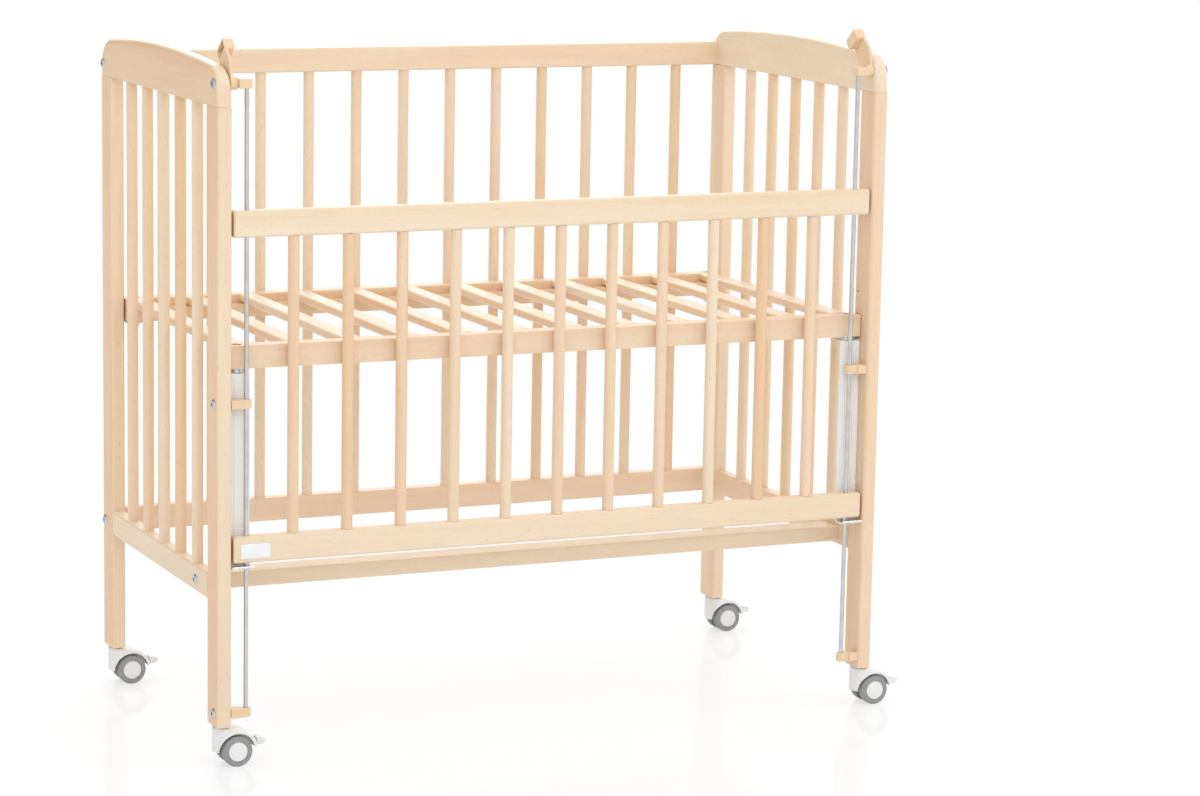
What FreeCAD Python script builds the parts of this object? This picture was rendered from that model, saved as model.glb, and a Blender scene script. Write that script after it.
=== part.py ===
import FreeCAD, Part
import math
import os
import re
import Sketcher

# A bedside sleeper crib in beech. Frame: X along the crib, Y from its drop side (-Y) to its
# back (+Y), Z up from the floor, with the origin on the floor under the crib's middle.
doc = FreeCAD.newDocument("bedside_crib")

# Driving sizes in mm and degrees, each one written once.
DRIVING = [
    # frame
    ("crib_length", "960"),         # over the outer faces of the end posts
    ("crib_depth", "508"),          # over the posts, front to back
    ("post_thick", "20"),
    ("post_width", "43"),
    ("post_height", "806"),
    ("post_round", "4.5"),
    ("joint_bevel", "1"),           # the small groove where post and cap rail meet
    ("cap_crown", "61"),            # top of the arch above the posts
    ("cap_arch_radius", "2600"),
    ("cap_corner", "38"),
    ("cap_round", "6.5"),
    ("bar_diameter", "15"),
    ("back_rail_thick", "20"),
    ("back_rail_tall", "34"),
    ("back_rail_inset", "2"),       # from the posts' back faces
    ("low_rail_height", "163.5"),   # undersides of the low rails above the posts' feet
    ("end_rail_thick", "18"),
    ("rail_round", "3"),
    ("back_bar_pitch", "71.8"),
    ("back_bar_count", "12"),
    ("end_bar_pitch", "71.3"),
    ("end_bar_count", "5"),
    ("stretcher_deep", "41"),
    ("stretcher_thick", "21.5"),
    ("stretcher_setback", "92.5"),  # middle of the board behind the posts' front faces
    ("stretcher_rise", "5"),        # its underside above that of the end rails
    # mattress base
    ("base_height", "552"),         # top of the base above the floor
    ("base_rail_tall", "30"),
    ("base_rail_thick", "24"),
    ("base_inset", "21"),           # outer face of a base rail from the posts' outer faces
    ("base_end_play", "1"),
    ("ledge_deep", "18"),
    ("slat_wide", "28"),
    ("slat_thick", "12"),
    ("slat_round", "5"),
    ("slat_pitch", "80"),
    ("slat_count", "12"),
    ("stud_disc", "24"),
    ("stud_thick", "5"),
    ("stud_rod", "4"),              # diameter of its shank
    ("stud_reach", "16"),           # middle of the disc from the post's inner face
    ("stud_bite", "12"),            # shank inside the post
    ("stud_inset", "12"),           # bolt behind the base rail's outer face
    ("base_bolt", "6"),
    ("base_bolt_head", "12"),
    ("base_bolt_head_tall", "5"),
    ("base_bolt_tail", "3"),        # past its nut
    ("socket_wide", "5"),
    ("socket_deep", "1.7"),
    ("base_sink", "8"),             # underside of the head below the rail's top
    ("sink_slack", "1"),
    ("ledge_round", "2"),
    ("stud_root", "2"),             # shank inside the eye
    ("nut_wide", "13"),
    ("nut_thick", "6"),
    ("height_step", "32"),
    ("height_holes", "3"),
    # drop side
    ("gate_thick", "18"),
    ("gate_inset", "1"),            # front face behind the posts' front faces
    ("gate_play", "3"),             # from each post
    ("gate_rail_tall", "35"),
    ("gate_span", "458"),           # over both rails
    ("gate_height", "216.5"),       # its underside above the posts' feet
    ("gate_round", "4"),
    ("gate_end_bevel", "2"),
    ("gate_bar_pitch", "74.8"),
    ("gate_bar_count", "11"),
    ("rod_diameter", "6"),
    ("rod_inset", "22.4"),          # rod's middle from the post's inner face
    ("rod_low", "14"),              # rod's foot above the posts' feet
    ("rod_high", "33"),             # rod's top above the posts' tops
    ("rod_slack", "0.3"),           # round the rod, in the gate
    ("bracket_tall", "12"),
    ("bracket_wide", "17"),
    ("bracket_arm", "13"),
    ("bracket_foot", "13"),
    ("bracket_floor", "2.5"),       # plastic past the rod's end
    ("bracket_bevel", "0.8"),
    ("top_bracket_long", "17"),
    ("mid_bracket_height", "424.5"),
    ("pivot_setback", "5"),         # lever pivot and bracket screws behind the rod
    ("pivot_diameter", "12"),
    ("pivot_root", "1"),            # boss inside the block
    # latch levers
    ("lever_thick", "9"),           # over its hub
    ("lever_gap", "0.5"),           # to the cap rail
    ("lever_hub", "8.5"),
    ("lever_blade", "3.5"),
    ("lever_root", "3"),            # blade inside the hub
    ("lever_waist", "22"),          # the blade's widest place above the pivot
    ("lever_wide", "37"),
    ("lever_waist_round", "12"),
    ("lever_long", "60"),
    ("lever_lean", "40"),
    ("finger_wide", "29"),
    ("finger_tall", "16"),
    ("finger_reach", "10"),       # past the blade
    ("finger_wall", "2"),
    ("finger_corner", "3"),
    ("finger_edge", "1"),
    # straps
    ("strap_wide", "30"),
    ("strap_thick", "1.8"),
    ("strap_flap", "23"),
    ("strap_drop", "9"),            # under the gate
    ("strap_gap", "3"),             # behind the gate
    ("strap_lip", "4"),
    ("strap_hole", "10"),
    ("strap_turn", "7"),
    # screws
    ("screw_head", "14"),
    ("screw_crown", "11"),          # the head's flat top
    ("screw_head_tall", "2.5"),
    ("screw_shank", "4"),
    ("screw_bite", "9"),            # in the bracket
    ("bolt_shank", "6"),
    ("bolt_bite", "30"),            # in the rail
    # casters
    ("caster_height", "54"),
    ("caster_trail", "20"),         # axle beside the stem
    ("wheel_diameter", "40"),
    ("wheel_wide", "11.5"),
    ("wheel_space", "14.6"),        # between the two wheels
    ("wheel_chamfer", "2"),
    ("hub_diameter", "26"),
    ("hub_groove", "0.8"),          # round the hub's disc
    ("hub_proud", "0.4"),
    ("axle_diameter", "5"),
    ("axle_reach", "9"),            # inside each wheel
    ("stem_diameter", "8"),
    ("stem_collar", "18"),
    ("collar_thick", "2"),
    ("stem_bite", "36"),            # in the post
    ("stem_seat", "20"),            # in the hood
    ("hood_wide", "36"),
    ("hood_wall", "4"),
    ("hood_gap", "4"),            # round the tread
    ("hood_nose", "9"),          # behind the stem
    ("hood_skirt", "19"),         # lower edge above the floor
    ("hood_end_angle", "12"),
    ("hood_corner", "6"),
    ("hood_round", "1.5"),
    ("web_thick", "13"),
    ("axle_boss", "9"),
    ("pedal_wide", "17"),
    ("pedal_arm", "9"),
    ("pedal_reach", "25"),          # from its pivot to its tip
    ("pedal_step", "13.5"),         # from its pivot to its wide end
    ("pedal_thick", "9"),
    ("pedal_hub", "7"),
    ("pedal_pin", "3"),
    ("pedal_dip", "3.5"),
    ("pedal_root", "2"),            # arm inside the wide end
    ("pedal_neck", "3.5"),
    ("pedal_bevel", "4"),
    ("slot_long", "18"),
    ("slot_low", "18"),
    ("slot_back", "4.5"),           # behind and above the pedal's pivot
    ("pivot_right", "16"),          # pedal pivot beside the axle
    ("pivot_up", "13"),             # and above it
    # clearances
    ("hole_slack", "0.1"),
    ("run_slack", "0.05"),
    ("part_gap", "0.3"),
]

# Places worked out from the sizes.
WORKED_OUT = [
    ("half_length", "crib_length / 2"),
    ("half_depth", "crib_depth / 2"),
    ("inner_x", "half_length - post_thick"),
    ("inner_y", "half_depth - post_width"),
    ("post_x", "half_length - post_thick / 2"),
    ("post_y", "half_depth - post_width / 2"),
    ("post_mid_z", "caster_height + post_height / 2"),
    ("post_top", "caster_height + post_height"),
    ("low_rail_base", "caster_height + low_rail_height"),
    ("back_rail_y", "half_depth - back_rail_inset - back_rail_thick / 2"),
    ("low_rail_z", "low_rail_base + back_rail_tall / 2"),
    ("top_rail_z", "post_top + back_rail_tall / 2"),
    ("stretcher_y", "stretcher_setback - half_depth"),
    ("stretcher_z", "low_rail_base + stretcher_rise + stretcher_thick / 2"),
    ("stretcher_half", "post_x - end_rail_thick / 2"),
    ("bar_base", "low_rail_base + back_rail_tall"),
    ("bar_long", "post_top - bar_base"),
    ("base_y", "half_depth - base_inset - base_rail_thick / 2"),
    ("base_floor", "base_height - base_rail_tall"),
    ("base_inner_y", "base_y - base_rail_thick / 2"),
    ("base_long", "2 * (inner_x - base_end_play)"),
    ("stud_x", "inner_x - stud_reach"),
    ("stud_y", "half_depth - base_inset - stud_inset"),
    ("stud_z", "base_floor - stud_thick / 2"),
    ("gate_y", "gate_inset + gate_thick / 2 - half_depth"),
    ("gate_half_long", "inner_x - gate_play"),
    ("gate_base", "caster_height + gate_height"),
    ("gate_low_z", "gate_base + gate_rail_tall / 2"),
    ("gate_high_z", "gate_base + gate_span - gate_rail_tall / 2"),
    ("gate_bar_base", "gate_base + gate_rail_tall"),
    ("gate_bar_long", "gate_span - 2 * gate_rail_tall"),
    ("rod_x", "inner_x - rod_inset"),
    ("rod_base", "caster_height + rod_low"),
    ("rod_top", "post_top + rod_high"),
    ("rod_long", "rod_top - rod_base"),
    ("low_bracket_z", "rod_base - bracket_floor + bracket_tall / 2"),
    ("mid_bracket_z", "caster_height + mid_bracket_height"),
    ("top_bracket_z", "rod_top + bracket_floor - bracket_tall / 2"),
    ("pivot_y", "gate_y + pivot_setback"),
    ("lever_x", "inner_x - lever_gap - lever_thick / 2"),
    ("pivot_long", "lever_thick + 2 * lever_gap"),
    ("top_block_x", "lever_x - lever_thick / 2 - lever_gap - top_bracket_long / 2"),
    ("strap_x", "inner_x - base_end_play - strap_wide / 2"),
    ("strap_y", "gate_y + gate_thick / 2 + strap_gap"),
    ("axle_z", "wheel_diameter / 2"),
    ("hood_top", "caster_height - collar_thick - part_gap"),
    ("hood_inner", "wheel_diameter / 2 + hood_gap"),
    ("hood_outer", "hood_inner + hood_wall"),
]


def fill_sheet(name, rows, prefix=""):
    """A sheet with one named cell per row."""
    sheet = doc.addObject("Spreadsheet::Sheet", name)
    for row, (alias, text) in enumerate(rows, 1):
        sheet.set("A%d" % row, alias)
        sheet.set("B%d" % row, prefix + formula(text))
        sheet.setAlias("B%d" % row, alias)
    doc.recompute()
    for alias, text in rows:
        HOME[alias] = name + "."


def formula(text):
    """A formula in plain names, with each name given the sheet that holds it."""
    return re.sub(r"[a-z]+_[a-z_]+", lambda word: HOME.get(word.group(), "") + word.group(), str(text))


def size(name):
    """The number in a named cell."""
    return float(getattr(doc.getObject(HOME[name][:-1]), name))


HOME = {}
fill_sheet("sizes", DRIVING)
fill_sheet("places", WORKED_OUT, "=")

PLANES = {"X": "YZ_Plane", "Y": "XZ_Plane", "Z": "XY_Plane"}
DIRECTIONS = {
    "X": FreeCAD.Vector(1, 0, 0),
    "Y": FreeCAD.Vector(0, 1, 0),
    "Z": FreeCAD.Vector(0, 0, 1),
}
LEFT_RIGHT = (("left", -1), ("right", 1))
FRONT_BACK = (("front", -1), ("back", 1))
NODES = []


def bind(item, formulas):
    """Ties properties of an object to formulas."""
    for path, text in formulas.items():
        item.setExpression(path, formula(text))


def put(item, x, y, z):
    """Places an object."""
    bind(item, {"Placement.Base.x": x, "Placement.Base.y": y, "Placement.Base.z": z})
    return item


def node(item):
    """Counts an object among the sub-parts that are written out."""
    NODES.append(item)
    return item


def new_body(label, x, y, z):
    return node(put(doc.addObject("PartDesign::Body", label), x, y, z))


def origin_feature(body, role):
    return [item for item in body.Origin.OriginFeatures if item.Role == role][0]


def new_sketch(body, name, axis, at=(0, 0, 0)):
    """A sketch square to an axis, with its own origin at a point of the body."""
    x, y, z = at
    offset = {"X": (y, z, x), "Y": (x, z, "-(%s)" % y), "Z": (x, y, z)}[axis]
    sketch = body.newObject("Sketcher::SketchObject", name)
    sketch.AttachmentSupport = [(origin_feature(body, PLANES[axis]), "")]
    sketch.MapMode = "FlatFace"
    for letter, text in zip("xyz", offset):
        bind(sketch, {"AttachmentOffset.Base." + letter: text})
    return sketch


def measure(sketch, text, *constraint):
    """A dimension of a sketch, tied to a formula."""
    index = sketch.addConstraint(Sketcher.Constraint(*constraint))
    bind(sketch, {"Constraints[%d]" % index: text})


def join_ends(sketch, edges):
    """Closes a ring of edges, each one's end on the next one's start."""
    for edge, following in zip(edges, edges[1:] + edges[:1]):
        sketch.addConstraint(Sketcher.Constraint("Coincident", edge, 2, following, 1))


def draw_rectangle(sketch, wide, tall):
    """A rectangle about the sketch's origin."""
    corners = [FreeCAD.Vector(x, y, 0) for x, y in ((-1, -1), (1, -1), (1, 1), (-1, 1))]
    edges = []
    for start, end in zip(corners, corners[1:] + corners[:1]):
        edges.append(sketch.addGeometry(Part.LineSegment(start, end)))
    bottom, right, top, left = edges
    join_ends(sketch, edges)
    for edge in (bottom, top):
        sketch.addConstraint(Sketcher.Constraint("Horizontal", edge))
    for edge in (right, left):
        sketch.addConstraint(Sketcher.Constraint("Vertical", edge))
    sketch.addConstraint(Sketcher.Constraint("Symmetric", bottom, 1, top, 1, -1, 1))
    measure(sketch, wide, "DistanceX", bottom, 1, bottom, 2, 2)
    measure(sketch, tall, "DistanceY", right, 1, right, 2, 2)


def draw_circle(sketch, radius):
    """A circle about the sketch's origin."""
    circle = sketch.addGeometry(Part.Circle(FreeCAD.Vector(), DIRECTIONS["Z"], 1))
    sketch.addConstraint(Sketcher.Constraint("Coincident", circle, 3, -1, 1))
    measure(sketch, radius, "Radius", circle, 1)


def draw_path(sketch, edges):
    """A ring of lines and arcs that meet end to end."""
    for edge in edges:
        sketch.addGeometry(edge)


def extrude(body, kind, sketch, long, name):
    """A Pad or a Pocket, half of it to each side of its sketch."""
    feature = body.newObject("PartDesign::" + kind, name)
    feature.Profile = sketch
    feature.SideType = "Symmetric"
    bind(feature, {"Length": long})
    body.Tip = feature
    return feature


def block(body, name, axis, at, wide, tall, long, kind="Pad"):
    sketch = new_sketch(body, name + "_section", axis, at)
    draw_rectangle(sketch, wide, tall)
    return extrude(body, kind, sketch, long, name)


def disc(body, name, axis, at, radius, long, kind="Pad"):
    sketch = new_sketch(body, name + "_section", axis, at)
    draw_circle(sketch, radius)
    return extrude(body, kind, sketch, long, name)


def drill(body, name, axis, at, radius, long):
    return disc(body, name, axis, at, radius, long, "Pocket")


def row(body, name, feature, axis, long, count):
    """Repeats a feature along an axis."""
    pattern = body.newObject("PartDesign::LinearPattern", name)
    pattern.Originals = [feature]
    pattern.Direction = (origin_feature(body, axis + "_Axis"), [""])
    bind(pattern, {"Length": long, "Occurrences": count})
    body.Tip = pattern
    return pattern


def ease(body, name, amount, wanted, kind="Fillet"):
    """Rounds or bevels the edges of a body's last feature that pass a test."""
    doc.recompute()
    last = body.Tip
    names = ["Edge%d" % number for number, edge in enumerate(last.Shape.Edges, 1) if wanted(edge)]
    eased = body.newObject("PartDesign::" + kind, name)
    eased.Base = (last, names)
    bind(eased, {{"Fillet": "Radius", "Chamfer": "Size"}[kind]: amount})
    body.Tip = eased
    return eased


def runs_along(axis):
    """A test for straight edges along an axis."""
    def test(edge):
        if not isinstance(edge.Curve, Part.Line):
            return False
        return abs(edge.Curve.Direction.dot(DIRECTIONS[axis])) > 0.99
    return test


def lies_at(letter, place):
    """A test for edges that lie at one place on an axis."""
    def test(edge):
        box = edge.BoundBox
        low = getattr(box, letter + "Min")
        high = getattr(box, letter + "Max")
        return abs(low - place) < 0.01 and abs(high - place) < 0.01
    return test


def beam(label, axis, at, across, tall, long, rounding):
    """A straight piece of wood about a point, its long edges eased."""
    body = new_body(label, *at)
    block(body, label + "_beam", axis, (0, 0, 0), across, tall, long)
    ease(body, label + "_edges", rounding, runs_along(axis))
    return body


def bar_row(label, axis, at, pitch, count):
    """A row of upright round bars, from its first bar's middle."""
    body = new_body(label, *at)
    bar = disc(body, label + "_bar", "Z", (0, 0, 0), "bar_diameter / 2", "bar_long")
    row(body, label + "_row", bar, axis, "%s * (%s - 1)" % (pitch, count), count)
    return body


def cylinder(name, radius, tall, x, y, z):
    item = put(doc.addObject("Part::Cylinder", name), x, y, z)
    bind(item, {"Radius": radius, "Height": tall})
    return item


def turned(item, axis, angle):
    """Turns a piece about its own origin."""
    item.Placement = FreeCAD.Placement(item.Placement.Base, FreeCAD.Rotation(DIRECTIONS[axis], angle))
    return item


def hexagon(name, wide, tall, x, y, z):
    """An upright hexagonal prism, given by its width over two flats."""
    item = put(doc.addObject("Part::Prism", name), x, y, z)
    item.Polygon = 6
    bind(item, {"Circumradius": "%s / sqrt(3)" % wide, "Height": tall})
    return item


def fused(name, *items):
    item = doc.addObject("Part::MultiFuse", name)
    item.Shapes = list(items)
    return item


def cut(name, base, tool):
    item = doc.addObject("Part::Cut", name)
    item.Base = base
    item.Tool = tool
    return item


def group(label, items):
    """Several like pieces under one name."""
    item = node(doc.addObject("Part::Compound", label))
    item.Links = list(items)
    return item


# Frame

def make_post(side_name, side, face_name, face):
    """A post with its caster's hole, its height holes and its fixing holes."""
    label = "post_%s_%s" % (face_name, side_name)
    body = beam(label, "Z", ("%d * post_x" % side, "%d * post_y" % face, "post_mid_z"),
                "post_thick", "post_width", "post_height", "post_round")
    for letter, end in (("foot", -1), ("top", 1)):
        ease(body, "%s_%s" % (label, letter), "joint_bevel", lies_at("Z", end * size("post_height") / 2),
             "Chamfer")
    drill(body, label + "_stem_hole", "Z", (0, 0, "(stem_bite - post_height) / 2"),
          "stem_diameter / 2 + hole_slack", "stem_bite")
    height_hole = drill(body, label + "_height_hole", "X",
                        ("%d * (stud_bite - post_thick) / 2" % side, "%d * (stud_y - post_y)" % face,
                         "stud_z - post_mid_z"),
                        "stud_rod / 2 + hole_slack", "stud_bite")
    row(body, label + "_height_holes", height_hole, "Z", "height_step * (height_holes - 1)", "height_holes")
    if face < 0:
        for name in ("low", "mid"):
            drill(body, "%s_%s_screw_hole" % (label, name), "X",
                  (0, "pivot_y + post_y", "%s_bracket_z - post_mid_z" % name),
                  "screw_shank / 2 + hole_slack", "post_thick")
    else:
        drill(body, label + "_bolt_hole", "X", (0, "back_rail_y - post_y", "low_rail_z - post_mid_z"),
              "bolt_shank / 2 + hole_slack", "post_thick")


def draw_cap(sketch):
    """The cap rail's outline: a shallow arch that runs into two round corners."""
    half = size("half_depth")
    corner = size("cap_corner")
    arch = size("cap_arch_radius")
    arch_z = size("cap_crown") - arch
    slope = math.asin((half - corner) / (arch - corner))
    corner_z = arch_z + (arch - corner) * math.cos(slope)
    up = DIRECTIONS["Z"]
    quarter = math.pi / 2

    def arc(y, z, radius, start, end):
        return Part.ArcOfCircle(Part.Circle(FreeCAD.Vector(y, z, 0), up, radius), start, end)

    def line(*ends):
        return Part.LineSegment(*(FreeCAD.Vector(y, z, 0) for y, z in ends))

    bottom = sketch.addGeometry(line((-half, 0), (half, 0)))
    right = sketch.addGeometry(line((half, 0), (half, corner_z)))
    right_corner = sketch.addGeometry(arc(half - corner, corner_z, corner, 0, quarter - slope))
    crown = sketch.addGeometry(arc(0, arch_z, arch, quarter - slope, quarter + slope))
    left_corner = sketch.addGeometry(arc(corner - half, corner_z, corner, quarter + slope, 2 * quarter))
    left = sketch.addGeometry(line((-half, corner_z), (-half, 0)))
    for first, second in ((bottom, right), (left, bottom)):
        sketch.addConstraint(Sketcher.Constraint("Coincident", first, 2, second, 1))
    for first, second in ((right, right_corner), (right_corner, crown), (crown, left_corner),
                          (left_corner, left)):
        sketch.addConstraint(Sketcher.Constraint("Tangent", first, 2, second, 1))
    sketch.addConstraint(Sketcher.Constraint("Horizontal", bottom))
    sketch.addConstraint(Sketcher.Constraint("Vertical", right))
    sketch.addConstraint(Sketcher.Constraint("Vertical", left))
    sketch.addConstraint(Sketcher.Constraint("Symmetric", bottom, 1, bottom, 2, -1, 1))
    sketch.addConstraint(Sketcher.Constraint("Equal", right_corner, left_corner))
    measure(sketch, "crib_depth", "DistanceX", bottom, 1, bottom, 2, 2 * half)
    measure(sketch, "cap_corner", "Radius", right_corner, corner)
    measure(sketch, "cap_arch_radius", "Radius", crown, arch)
    measure(sketch, "cap_arch_radius - cap_crown", "DistanceY", crown, 3, -1, 1, -arch_z)


def make_cap(side_name, side):
    """The arched rail on a pair of end posts."""
    label = "cap_rail_" + side_name
    body = new_body(label, "%d * post_x" % side, 0, "post_top")
    sketch = new_sketch(body, label + "_outline", "X")
    draw_cap(sketch)
    extrude(body, "Pad", sketch, "post_thick", label + "_board")
    half_thick = size("post_thick") / 2

    def upper(edge):
        on_face = lies_at("X", half_thick)(edge) or lies_at("X", -half_thick)(edge)
        return on_face and edge.BoundBox.ZMax > 1

    ease(body, label + "_edges", "cap_round", upper)
    ease(body, label + "_joint", "joint_bevel", lies_at("Z", 0), "Chamfer")
    drill(body, label + "_screw_hole", "X", (0, "pivot_y", "top_bracket_z - post_top"),
          "screw_shank / 2 + hole_slack", "post_thick")
    drill(body, label + "_bolt_hole", "X", (0, "back_rail_y", "top_rail_z - post_top"),
          "bolt_shank / 2 + hole_slack", "post_thick")


def drill_ends(body, label, half_long):
    """The bolt holes in the two ends of a lengthways rail."""
    for side_name, side in LEFT_RIGHT:
        drill(body, "%s_%s_bolt_hole" % (label, side_name), "X",
              ("%d * (%s + inner_x - bolt_bite) / 2" % (side, half_long), 0, 0),
              "bolt_shank / 2 + hole_slack", "%s - inner_x + bolt_bite" % half_long)


def make_frame():
    for side_name, side in LEFT_RIGHT:
        for face_name, face in FRONT_BACK:
            make_post(side_name, side, face_name, face)
        make_cap(side_name, side)
        label = "end_bottom_rail_" + side_name
        rail = beam(label, "Y", ("%d * post_x" % side, 0, "low_rail_z"),
                    "end_rail_thick", "back_rail_tall", "2 * inner_y", "rail_round")
        drill(rail, label + "_bolt_hole", "X", (0, "stretcher_y", "stretcher_z - low_rail_z"),
              "bolt_shank / 2 + hole_slack", "end_rail_thick")
        bar_row("end_bars_" + side_name, "Y",
                ("%d * post_x" % side, "end_bar_pitch * (1 - end_bar_count) / 2", "bar_base + bar_long / 2"),
                "end_bar_pitch", "end_bar_count")
    for label, place in (("back_top_rail", "top_rail_z"), ("back_bottom_rail", "low_rail_z")):
        rail = beam(label, "X", (0, "back_rail_y", place),
                    "back_rail_thick", "back_rail_tall", "2 * inner_x", "rail_round")
        drill_ends(rail, label, "inner_x")
    bar_row("back_bars", "X",
            ("back_bar_pitch * (1 - back_bar_count) / 2", "back_rail_y", "bar_base + bar_long / 2"),
            "back_bar_pitch", "back_bar_count")
    board = beam("stretcher", "X", (0, "stretcher_y", "stretcher_z"),
                 "stretcher_deep", "stretcher_thick", "2 * stretcher_half", "rail_round")
    drill_ends(board, "stretcher", "stretcher_half")


# Mattress base

def make_base_rail(face_name, face):
    """A base rail with a ledge for the slats and sunk holes for its two bolts."""
    label = "base_rail_" + face_name
    body = new_body(label, 0, "%d * base_y" % face, "base_height - base_rail_tall / 2")
    block(body, label + "_beam", "X", (0, 0, 0), "base_rail_thick", "base_rail_tall", "base_long")
    block(body, label + "_ledge", "X",
          (0, "%d * (base_rail_thick + ledge_deep) / 2" % -face, "-slat_thick / 2"),
          "ledge_deep", "base_rail_tall - slat_thick", "base_long")
    ease(body, label + "_edges", "ledge_round",
         lambda edge: runs_along("X")(edge) and edge.BoundBox.ZMax > size("base_rail_tall") / 2 - 1)
    for side_name, side in LEFT_RIGHT:
        at_x = "%d * stud_x" % side
        at_y = "%d * (stud_y - base_y)" % face
        drill(body, "%s_%s_bolt_hole" % (label, side_name), "Z", (at_x, at_y, 0),
              "base_bolt / 2 + hole_slack", "base_rail_tall")
        drill(body, "%s_%s_sink" % (label, side_name), "Z",
              (at_x, at_y, "(base_rail_tall - base_sink) / 2"),
              "base_bolt_head / 2 + sink_slack", "base_sink")


def make_stud(name, side, face):
    """An eye stud: a flat eye for the base's bolt on a shank in the post."""
    x = "%d * stud_x" % side
    y = "%d * stud_y" % face
    eye = cylinder(name + "_eye", "stud_disc / 2", "stud_thick", x, y, "base_floor - stud_thick")
    shank = cylinder(name + "_shank", "stud_rod / 2", "stud_reach + stud_bite - stud_disc / 2 + stud_root",
                     "%d * (stud_x + stud_disc / 2 - stud_root)" % side, y, "stud_z")
    turned(shank, "Y", 90 * side)
    hole = cylinder(name + "_hole", "base_bolt / 2 + hole_slack", "stud_thick", x, y,
                    "base_floor - stud_thick")
    return cut(name, fused(name + "_blank", eye, shank), hole)


def make_base_bolt(name, side, face):
    """A socket-head bolt, down through the rail, the eye stud and, in front, the strap."""
    x = "%d * stud_x" % side
    y = "%d * stud_y" % face
    under = "strap_thick" if face < 0 else "0"
    nut_z = "base_floor - stud_thick - %s - nut_thick" % under
    head = cylinder(name + "_head", "base_bolt_head / 2", "base_bolt_head_tall", x, y,
                    "base_height - base_sink")
    shank = cylinder(name + "_shank", "base_bolt / 2",
                     "base_height - base_sink - (%s) + base_bolt_tail" % nut_z, x, y,
                     "%s - base_bolt_tail" % nut_z)
    socket = hexagon(name + "_socket", "socket_wide", "socket_deep", x, y,
                     "base_height - base_sink + base_bolt_head_tall - socket_deep")
    nut = hexagon(name + "_nut_blank", "nut_wide", "nut_thick", x, y, nut_z)
    thread = cylinder(name + "_nut_hole", "base_bolt / 2 + hole_slack", "nut_thick", x, y, nut_z)
    return [cut(name, fused(name + "_blank", head, shank), socket), cut(name + "_nut", nut, thread)]


def make_base():
    for face_name, face in FRONT_BACK:
        make_base_rail(face_name, face)
    body = new_body("base_slats", "slat_pitch * (1 - slat_count) / 2", 0, "base_height - slat_thick / 2")
    block(body, "slat", "Y", (0, 0, 0), "slat_wide", "slat_thick", "2 * (base_inner_y - part_gap)")
    slat = ease(body, "slat_edges", "slat_round", runs_along("Y"))
    slats = body.newObject("PartDesign::LinearPattern", "slats")
    slats.TransformMode = "Whole shape"
    slats.Direction = (origin_feature(body, "X_Axis"), [""])
    bind(slats, {"Length": "slat_pitch * (slat_count - 1)", "Occurrences": "slat_count"})
    body.Tip = slats
    studs = []
    bolts = []
    for side_name, side in LEFT_RIGHT:
        for face_name, face in FRONT_BACK:
            corner = "%s_%s" % (face_name, side_name)
            studs.append(make_stud("stud_" + corner, side, face))
            bolts.extend(make_base_bolt("base_bolt_" + corner, side, face))
    group("base_studs", studs)
    group("base_bolts", bolts)


# Drop side

def make_gate():
    """The sliding gate: two rails that ride on the rods, and the bars between them."""
    half_long = size("gate_half_long")
    for label, place in (("gate_bottom_rail", "gate_low_z"), ("gate_top_rail", "gate_high_z")):
        rail = beam(label, "X", (0, "gate_y", place),
                    "gate_thick", "gate_rail_tall", "2 * gate_half_long", "gate_round")
        for side_name, side in LEFT_RIGHT:
            ease(rail, "%s_%s_end" % (label, side_name), "gate_end_bevel", lies_at("X", side * half_long),
                 "Chamfer")
            drill(rail, "%s_%s_rod_hole" % (label, side_name), "Z", ("%d * rod_x" % side, 0, 0),
                  "rod_diameter / 2 + rod_slack", "gate_rail_tall")
    body = new_body("gate_bars", "gate_bar_pitch * (1 - gate_bar_count) / 2", "gate_y",
                    "gate_bar_base + gate_bar_long / 2")
    bar = disc(body, "gate_bar", "Z", (0, 0, 0), "bar_diameter / 2", "gate_bar_long")
    row(body, "gate_bar_row", bar, "X", "gate_bar_pitch * (gate_bar_count - 1)", "gate_bar_count")


def bevel_rim(body, label):
    """Bevels the edges of a bracket's top and underside."""
    half = size("bracket_tall") / 2
    ease(body, label + "_rim", "bracket_bevel",
         lambda edge: lies_at("Z", half)(edge) or lies_at("Z", -half)(edge), "Chamfer")


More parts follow.
